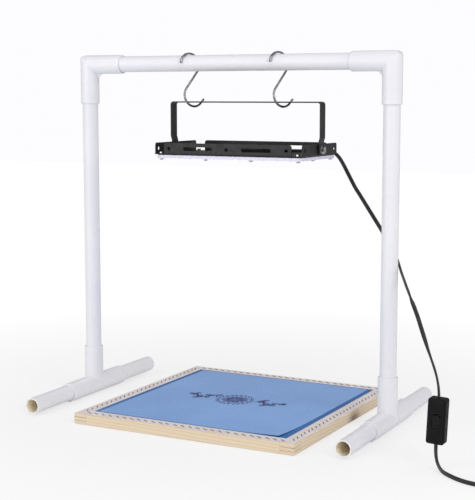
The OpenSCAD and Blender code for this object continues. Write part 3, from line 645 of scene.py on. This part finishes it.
def dust_effect(patches):
    """Thin dust, thickest on faces that look up, in uneven patches."""
    nodes, takes, end = new_effect("dust", {"Scale": 70.0, "Amount": 0.1}, "Mask")
    up = nodes.parts(nodes.add("ShaderNodeNewGeometry").outputs["Normal"])["Z"]
    shared = {"Vector": takes["Vector"], "Scale": takes["Scale"], "Detail": 5.0}
    mask = nodes.add("ShaderNodeGroup", shared, node_tree=patches).outputs["Value"]
    lying = nodes.math("MULTIPLY", mask, nodes.spread(up, 0.0, 1.0, 0.25, 1.0))
    return give(nodes, end, nodes.math("MULTIPLY", lying, takes["Amount"]))


PATCHES = patches_effect()
TONES, GRAIN, DUST = tones_effect(PATCHES), grain_effect(), dust_effect(PATCHES)


class Finish(Nodes):
    """A procedural material, built up from the object's own coordinates in metres."""

    def __init__(self, name, base, rough, metal=0.0, **sockets):
        self.material = bpy.data.materials.new(name)
        self.material.use_nodes = True
        super().__init__(self.material.node_tree)
        self.bsdf = self.tree.nodes["Principled BSDF"]
        self.coords = self.add("ShaderNodeTexCoord").outputs["Object"]
        self.set("Base Color", base)
        self.set("Roughness", rough)
        self.set("Metallic", metal)
        for key, value in sockets.items():
            self.set(key.replace("_", " "), value)

    def set(self, socket, value):
        self.feed(self.bsdf, {socket: value})

    def placed(self, scale=(1, 1, 1), turn=(0, 0, 0), shift=(0, 0, 0)):
        """The object's coordinates, stretched, turned or shifted."""
        return self.add("ShaderNodeMapping", {"Vector": self.coords, "Scale": scale, "Rotation": turn,
                                              "Location": shift}).outputs[0]

    def effect(self, group, stretch=None, **values):
        """Places a shared effect, its inputs named as in the group with _ for a space."""
        inputs = {key.replace("_", " "): value for key, value in values.items()}
        inputs["Vector"] = self.placed(stretch) if stretch else self.coords
        return self.add("ShaderNodeGroup", inputs, node_tree=group).outputs[0]

    def tones(self, scale, first, second, low=0.35, high=0.7, detail=3.0, stretch=None):
        """Lays two tones into the base colour, and gives them on."""
        color = self.effect(TONES, stretch, Scale=scale, Detail=detail, Low=low, High=high, First=first,
                            Second=second)
        self.set("Base Color", color)
        return color

    def gloss(self, scale, smooth, rough):
        """Roughness that changes in patches between two values."""
        patches = self.effect(PATCHES, Scale=scale, Low=0.3, High=0.7, At_Low=smooth, At_High=rough)
        self.set("Roughness", patches)

    def bump(self, height, distance, strength):
        node = self.add("ShaderNodeBump", {"Height": height, "Distance": distance, "Strength": strength})
        self.set("Normal", node.outputs[0])

    def grain(self, scale, depth, strength=0.5, long_share=0.3):
        self.bump(self.effect(GRAIN, Scale=scale, Long_Share=long_share), depth, strength)

    def dusty(self, color, amount):
        grey = (0.16, 0.16, 0.17)
        self.set("Base Color", self.mix(self.effect(DUST, Scale=70.0, Amount=amount), color, grey))


def pipe_finish():
    """White pipe plastic: very faint mottling and gloss changes, and a warm tan inside with painted shade,
    darker deeper in the bore.
    """
    f = Finish("pipe_plastic", (0.84, 0.84, 0.87), 0.3, Specular_IOR_Level=0.45, Coat_Weight=0.12,
               Coat_Roughness=0.2, Subsurface_Weight=0.06, Subsurface_Radius=(0.9, 0.9, 1.0),
               Subsurface_Scale=0.002)
    foot_x, foot_z, bore_r, foot_end = 0.2605, 0.015, 0.0105, 0.175
    x, y, z = f.parts(f.coords)
    from_axis = f.reach(f.math("SUBTRACT", f.math("ABSOLUTE", x), foot_x), f.math("SUBTRACT", z, foot_z))
    inside = f.spread(from_axis, bore_r + 0.0001, bore_r + 0.0004, 1.0, 0.0)
    # Painted shade: the tan inside the bore darkens with depth and is lightest at the foot's open end.
    painted_bore_shade = f.spread(f.math("ABSOLUTE", y), foot_end - 0.105, foot_end + 0.001)
    tan = f.mix(painted_bore_shade, (0.90, 0.70, 0.47), (0.99, 0.92, 0.76))
    white = f.tones(9.0, (0.83, 0.83, 0.87), (0.87, 0.87, 0.90), 0.3, 0.7, 2.0)
    f.set("Base Color", f.mix(inside, white, tan))
    f.gloss(24.0, 0.26, 0.34)
    f.grain(1400.0, 0.00001, 0.2, 0.0)
    return f.material


def metal_finish(name, dark, light, rough, scale=260.0):
    """Plated wire, screws, pins and staples: slightly clouded metal with a fine skin."""
    f = Finish(name, light, rough[0], 1.0)
    f.tones(scale, dark, light, 0.4, 0.68, 4.0)
    f.gloss(scale * 1.7, *rough)
    f.grain(1500.0, 0.00002, 0.4, 0.2)
    return f.material


def enamel_finish():
    """Satin black enamel on sheet steel: orange peel, fine rubbed specks and a little dust."""
    f = Finish("black_enamel", (0.012, 0.012, 0.012), 0.38, Specular_IOR_Level=0.5)
    shade = f.tones(60.0, (0.007, 0.007, 0.007), (0.017, 0.017, 0.018), 0.42, 0.75, 5.0)
    specks = f.effect(PATCHES, Scale=700.0, Detail=2.0, Low=0.72, High=0.78, At_High=0.4)
    f.dusty(f.mix(specks, shade, (0.07, 0.07, 0.075)), 0.08)
    f.gloss(120.0, 0.34, 0.5)
    f.grain(1100.0, 0.00004, 0.5, 0.45)
    return f.material


def moulded_finish(name, base, grain, depth, rough, dust=0.06):
    """Moulded black plastic or rubber: an even grain, a slight change of tone and thin dust."""
    f = Finish(name, base, rough[0], Specular_IOR_Level=0.2)
    f.dusty(f.tones(90.0, base, tuple(c * 1.4 + 0.002 for c in base), 0.42, 0.7, 4.0), dust)
    f.gloss(200.0, *rough)
    f.grain(grain, depth, 0.6, 0.25)
    return f.material


def cord_finish():
    """Black jacket of the cord: soft plastic with a slight shine and thin dust."""
    f = Finish("cord_jacket", (0.012, 0.012, 0.013), 0.4, Sheen_Weight=0.1)
    f.dusty(f.tones(35.0, (0.009, 0.009, 0.010), (0.019, 0.019, 0.021), 0.4, 0.7), 0.08)
    f.gloss(300.0, 0.3, 0.46)
    f.grain(800.0, 0.00004, 0.4, 0.4)
    return f.material


def knotted(f, shade, place):
    """Wood with one knot, long in the grain and ragged at its rim, low on the right rail's outer face."""
    x, y, z = [f.math("SUBTRACT", part, middle) for part, middle in zip(place, (0.185, 0.028, 0.0045))]
    reach = f.reach(f.math("MULTIPLY", y, 0.42), z, x)
    ragged = f.math("ADD", reach, f.effect(PATCHES, Scale=160.0, Detail=2.0, At_High=0.0015))
    return f.mix(f.math("POWER", f.spread(ragged, 0.003, 0.0135, 0.9, 0.0), 1.3), shade, (0.24, 0.15, 0.11))


def joint_lines(f, x, y, z):
    """Mask of the fine dark lines at the frame's corners: between the layers and where each rail ends."""
    corner_x, corner_y, half_h = (HALF_L - RAIL) * MM, (HALF_W - RAIL) * MM, RAIL_H / 2 * MM
    far_x, far_y = f.math("ABSOLUTE", x), f.math("ABSOLUTE", y)
    corner = f.math("MULTIPLY", f.math("GREATER_THAN", far_x, corner_x - 0.00025),
                    f.math("GREATER_THAN", far_y, corner_y - 0.0003))
    layer = f.spread(f.off(f.off(z, half_h), half_h / 3), 0.0002, 0.00055, 0.75, 0.0)
    rail_end = f.math("MINIMUM", f.off(far_x, corner_x), f.off(far_y, corner_y))
    line = f.math("MAXIMUM", layer, f.spread(rail_end, 0.0002, 0.0005, 0.3, 0.0))
    return f.math("MULTIPLY", corner, line)


def pine_finish(name, along):
    """Planed pine, its grain running along X or Y: growth rings, fine fibres, the corner joints, one knot."""
    def drawn(long, rest, up=1.0):
        return (long, rest, up) if along == "x" else (rest, long, up)

    f = Finish(name, (0.80, 0.64, 0.42), 0.55)
    trunk = f.placed(drawn(0.06, 0.8, 1.5), turn=(0.1, 0.13, 0.02))
    rings = f.add("ShaderNodeTexWave", {"Vector": trunk, "Scale": 85, "Distortion": 4.2, "Detail": 3,
                                        "Detail Scale": 0.7},
                  wave_type="BANDS", bands_direction="DIAGONAL").outputs["Fac"]
    fibres = f.effect(GRAIN, drawn(0.03, 1.0), Scale=900.0, Long_Share=0.3)
    pale = f.tones(9.0, (0.83, 0.72, 0.555), (0.78, 0.655, 0.475), stretch=drawn(0.06, 1.0))
    late = f.mix(f.math("MULTIPLY", f.math("POWER", rings, 3.0), 0.42), pale, (0.66, 0.42, 0.22))
    shade = f.mix(f.spread(fibres, 0.35, 0.75, 0.0, 0.25), late, (0.70, 0.52, 0.33))
    x, y, z = f.parts(f.placed(turn=(0, 0, math.radians(-SCREEN_TURN)), shift=(-SCREEN_X * MM, 0, 0)))
    if along == "y":
        shade = knotted(f, shade, (x, y, z))
    f.set("Base Color", f.mix(joint_lines(f, x, y, z), shade, (0.24, 0.14, 0.07)))
    f.set("Roughness", f.spread(fibres, 0.3, 0.7, 0.46, 0.64))
    f.bump(f.math("ADD", fibres, f.math("MULTIPLY", rings, 0.4)), 0.00012, 0.5)
    return f.material


def cloth_finish():
    """Fine white polyester mesh, pulled tight: two sets of threads, warmed by the wood under it."""
    f = Finish("mesh_cloth", (0.80, 0.74, 0.74), 0.6, Sheen_Weight=0.25)
    threads = [f.add("ShaderNodeTexWave", {"Vector": f.coords, "Scale": 480}, bands_direction=way)
               for way in "XY"]
    weave = f.math("MAXIMUM", *[thread.outputs["Fac"] for thread in threads])
    base = f.tones(40.0, (0.74, 0.66, 0.63), (0.84, 0.79, 0.79), detail=4.0)
    gaps = f.math("MULTIPLY", f.math("SUBTRACT", 1.0, weave), 0.4)
    f.set("Base Color", f.mix(gaps, base, (0.56, 0.45, 0.36)))
    f.bump(weave, 0.00015, 0.5)
    return f.material


def coating_finish():
    """Blue light-sensitive coating, drawn down the mesh in one direction."""
    f = Finish("coating", (0.02, 0.12, 0.27), 0.35)
    f.tones(22.0, (0.008, 0.10, 0.36), (0.02, 0.18, 0.52), detail=4.0, stretch=(1.0, 0.15, 1.0))
    f.gloss(300.0, 0.28, 0.45)
    f.grain(900.0, 0.00005, 0.4)
    return f.material


def film_finish():
    """Clear film on the blue coating, drawn as an opaque pale blue: the coating seen through it, paled by a
    painted reflection of the bright surroundings, with soft, slightly wavy gloss.
    """
    f = Finish("film_painted_reflection", (0.19, 0.37, 0.74), 0.22, Coat_Weight=0.3, Coat_Roughness=0.1)
    # Painted reflection: the pale blue stands for the blue coating seen through the film, paled by the bright
    # surroundings reflected in it.
    f.tones(7.0, (0.20, 0.41, 0.83), (0.24, 0.47, 0.91))
    f.gloss(60.0, 0.2, 0.3)
    f.grain(70.0, 0.0001, 0.15, 1.0)
    return f.material


def ink_finish():
    """Dark blue print, a little uneven."""
    f = Finish("print_ink", (0.03, 0.025, 0.1), 0.4)
    f.tones(400.0, (0.022, 0.026, 0.15), (0.055, 0.065, 0.27), 0.4, 0.7)
    f.grain(900.0, 0.00002, 0.3)
    return f.material


def lens_finish():
    """Clear moulded plate over the LEDs, a little cloudy, with a faint painted glow."""
    f = Finish("lens_clear", (0.93, 0.92, 1.0), 0.12, IOR=1.49, Transmission_Weight=0.4,
               Emission_Strength=0.06)
    # Painted glow: a faint lavender emission stands in for the LEDs' light scattered in the plate.
    f.set("Emission Color", f.effect(TONES, Scale=90.0, First=(0.70, 0.62, 1.0), Second=(0.86, 0.80, 1.0)))
    f.gloss(260.0, 0.08, 0.2)
    f.grain(600.0, 0.0002, 0.2, 1.0)
    return f.material


def led_finish():
    """Violet glow of the LEDs behind the lens."""
    f = Finish("led_dome", (0.55, 0.42, 0.85), 0.3, Emission_Strength=1.5)
    f.set("Emission Color", f.effect(TONES, Scale=300.0, First=(0.28, 0.10, 0.9), Second=(0.36, 0.15, 1.0)))
    f.gloss(300.0, 0.25, 0.4)
    return f.material


def board_finish():
    """White lacquer of the LED board."""
    f = Finish("white_board", (0.80, 0.80, 0.82), 0.45)
    f.tones(120.0, (0.72, 0.72, 0.75), (0.84, 0.84, 0.85), 0.4, 0.7, 4.0)
    f.grain(700.0, 0.00003, 0.4)
    return f.material


FINISH = {
    "pipe": pipe_finish(),
    "enamel": enamel_finish(),
    "cord": cord_finish(),
    "wire": metal_finish("bright_wire", (0.30, 0.30, 0.32), (0.50, 0.50, 0.52), (0.08, 0.2), 220.0),
    "plastic": moulded_finish("black_plastic", (0.004, 0.004, 0.005), 1500.0, 0.00005, (0.42, 0.6), 0.02),
    "rocker": moulded_finish("rocker_plastic", (0.006, 0.006, 0.007), 1500.0, 0.00003, (0.2, 0.3), 0.02),
    "cover": moulded_finish("cover_plastic", (0.010, 0.010, 0.012), 1100.0, 0.00008, (0.5, 0.68)),
    "rubber": moulded_finish("black_rubber", (0.008, 0.008, 0.009), 1300.0, 0.00006, (0.55, 0.72)),
    "zinc": metal_finish("zinc_plating", (0.56, 0.54, 0.50), (0.76, 0.74, 0.70), (0.2, 0.38)),
    "staple": metal_finish("staple_wire", (0.10, 0.07, 0.06), (0.2, 0.14, 0.12), (0.36, 0.54)),
    "pin": metal_finish("pin_plating", (0.49, 0.45, 0.34), (0.68, 0.62, 0.47), (0.18, 0.32)),
    "pine_x": pine_finish("pine_across", "x"),
    "pine_y": pine_finish("pine_along", "y"),
    "cloth": cloth_finish(),
    "coating": coating_finish(),
    "film": film_finish(),
    "ink": ink_finish(),
    "lens": lens_finish(),
    "led": led_finish(),
    "board": board_finish()}

SOLID_FINISH = {
    "pipe": ["crossbar", "left_upright", "right_upright", "left_elbow", "right_elbow", "left_tee",
             "right_tee", "left_front_foot", "left_rear_foot", "right_front_foot", "right_rear_foot"],
    "enamel": ["bracket", "lamp_tray"],
    "cover": ["driver_cover"],
    "rubber": ["cable_gland", "lens_gasket"],
    "board": ["led_board"],
    "led": ["led_chips"],
    "lens": ["lens_plate"],
    "zinc": ["lens_screws", "lens_nuts", "pivot_bolts", "pivot_washers", "pivot_nuts", "switch_screws"],
    "pine_x": ["front_rail", "rear_rail"],
    "pine_y": ["left_rail", "right_rail"],
    "coating": ["emulsion"],
    "plastic": ["switch_base", "switch_cover", "coil_tie"],
    "rocker": ["switch_rocker"],
    "cord": ["plug_body"],
    "pin": ["plug_pins"]}
for key, names in SOLID_FINISH.items():
    for name in names:
        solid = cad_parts[name]
        solid.data.materials.clear()
        solid.data.materials.append(FINISH[key])

MADE_FINISH = [
    ("cord", "cord_black", lead_pieces + [floor_cord]),
    ("rocker", "black_plastic", [rocker_collar]),
    ("wire", "hook_wire", [left_hook, right_hook]),
    ("cloth", "mesh", [cloth]),
    ("staple", "zinc_steel", [staples]),
    ("film", "film", [film_piece]),
    ("ink", "film", [print_piece])]
for key, slot, pieces in MADE_FINISH:
    for piece in pieces:
        piece.data.materials.append(FINISH[key])

# Floor, backdrop and light


def add_floor():
    """White floor, faintly shaded near the stand and plain white, as lit paper, farther out (in metres)."""
    half, drop, near, far = 6, 0.0004, 0.3, 0.95
    corners = [(-half, -half, -drop), (half, -half, -drop), (half, half, -drop), (-half, half, -drop)]
    floor = add_mesh("floor", corners, [(0, 1, 2, 3)], smooth=False)
    f = Finish("floor_paint", (0.93, 0.93, 0.935), 0.75)
    x, y, _ = f.parts(f.coords)
    rays = f.add("ShaderNodeLightPath").outputs
    strength = f.spread(rays["Is Glossy Ray"], 0.0, 1.0, 1.0, 0.5)
    glow = f.add("ShaderNodeEmission", {"Color": (1, 1, 1), "Strength": strength})
    seen = f.math("MAXIMUM", rays["Is Camera Ray"], rays["Is Glossy Ray"])
    seen = f.math("MAXIMUM", seen, rays["Is Transmission Ray"])
    share = f.math("MULTIPLY", seen, f.spread(f.reach(x, y), near, far, 0.6, 1.0))
    both = f.add("ShaderNodeMixShader", {0: share, 1: f.bsdf.outputs[0], 2: glow.outputs[0]})
    f.feed(f.tree.nodes["Material Output"], {"Surface": both.outputs[0]})
    floor.data.materials.append(f.material)


def add_world():
    """White for the camera and through clear plastic, dimmer as a light and dimmer still in reflections."""
    as_seen, as_light, as_reflection = 1.0, 0.62, 0.3
    world = bpy.data.worlds.new("studio")
    world.use_nodes = True
    nodes = Nodes(world.node_tree)
    rays = nodes.add("ShaderNodeLightPath").outputs
    unseen = nodes.spread(rays["Is Glossy Ray"], 0.0, 1.0, as_light, as_reflection)
    seen = nodes.math("MAXIMUM", rays["Is Camera Ray"], rays["Is Transmission Ray"])
    strength = nodes.spread(seen, 0.0, 1.0, unseen, as_seen)
    nodes.feed(nodes.tree.nodes["Background"], {"Color": (0.98, 0.98, 1.0), "Strength": strength})
    scene.world = world


def add_lamp(name, place, size, power):
    """Square or oblong lamp that looks at the middle of the stand; places and sizes in metres."""
    middle = Vector((0, 0, 0.25))
    data = bpy.data.lights.new(name, "AREA")
    data.energy = power
    data.shape = "RECTANGLE"
    data.size, data.size_y = size
    lamp = bpy.data.objects.new(name, data)
    lamp.location = place
    lamp.rotation_euler = (Vector(place) - middle).to_track_quat("Z", "Y").to_euler()
    scene.collection.objects.link(lamp)


add_floor()
add_world()
add_lamp("key_light", (-1.6, -1.9, 2.3), (1.6, 1.6), 11)
add_lamp("fill_light", (2.2, -1.2, 1.5), (1.6, 1.6), 21)
add_lamp("top_light", (0.2, 1.3, 2.6), (2.0, 1.4), 4)
add_lamp("front_light", (-1.0, -2.2, 0.6), (1.5, 1.2), 10)
scene.view_settings.view_transform = "Standard"
